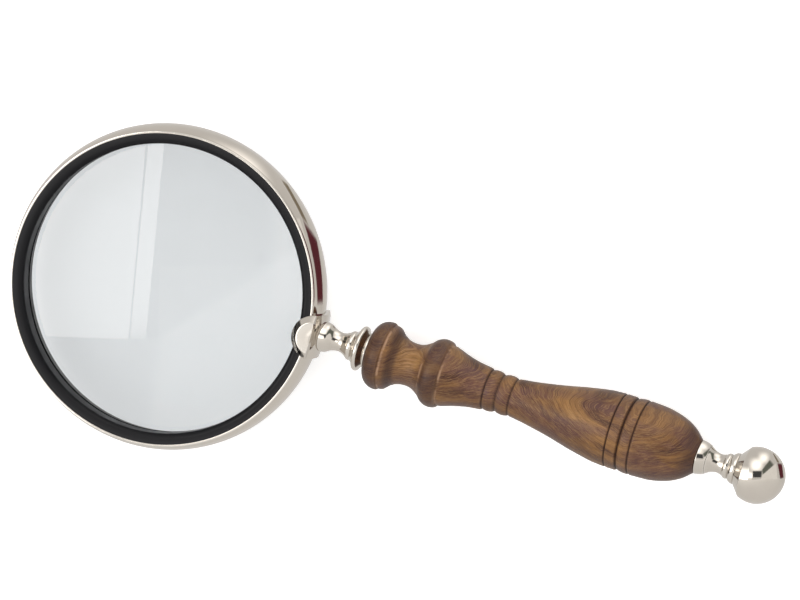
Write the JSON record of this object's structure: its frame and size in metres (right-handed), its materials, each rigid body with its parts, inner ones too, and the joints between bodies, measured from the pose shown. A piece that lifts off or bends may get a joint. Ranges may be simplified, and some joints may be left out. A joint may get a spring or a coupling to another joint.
{
  "type": "magnifying glass",
  "caption": "Hand magnifying glass: convex lens in a convex nickel rim with black retaining rings, held by a saddle on a turned stem, with a turned wooden handle and a ball finial.",
  "frame": {"origin": "bottom centre of the bounding box: under the middle of the length, at the lowest point of the handle's belly", "axes": "+X along the handle from the lens to the ball finial, +Z along the lens axis, +Y across the lens"},
  "size_m": [0.2498, 0.1, 0.0232],
  "materials": {
    "nickel": "polished nickel plate, slightly warm",
    "black_lacquer": "satin black lacquer",
    "lens_glass": "clear polished glass",
    "rubber": "matt black rubber",
    "rosewood": "oiled satin, streaked grain",
    "steel": "bright turned steel"
  },
  "bodies": {
    "root": {"rim": "nickel", "lens": "lens_glass", "lens_gasket": "rubber", "front_retaining_ring": "black_lacquer", "rear_retaining_ring": "black_lacquer", "saddle": "nickel", "saddle_screw": "steel", "stem": "nickel", "flange_collar": "nickel", "collar_washer": "nickel", "handle_grip": "rosewood", "tie_rod": "steel"},
    "pommel": {"pommel_collar": "nickel"},
    "finial": {"ball_finial": "nickel"}
  },
  "joints": [
    {"name": "pommel_travel", "type": "slide", "parent": "root", "child": "pommel", "axis": [1, 0, 0], "range_m": [0, 0.006]},
    {"name": "finial_turn", "type": "hinge", "parent": "pommel", "child": "finial", "pos_m": [0.11629, 0, 0.0116], "axis": [1, 0, 0], "range_deg": [0, 3600]}
  ],
  "couplings": [
    {"joint": "finial_turn", "follows": "pommel_travel", "rad_per_m": 10472}
  ]
}
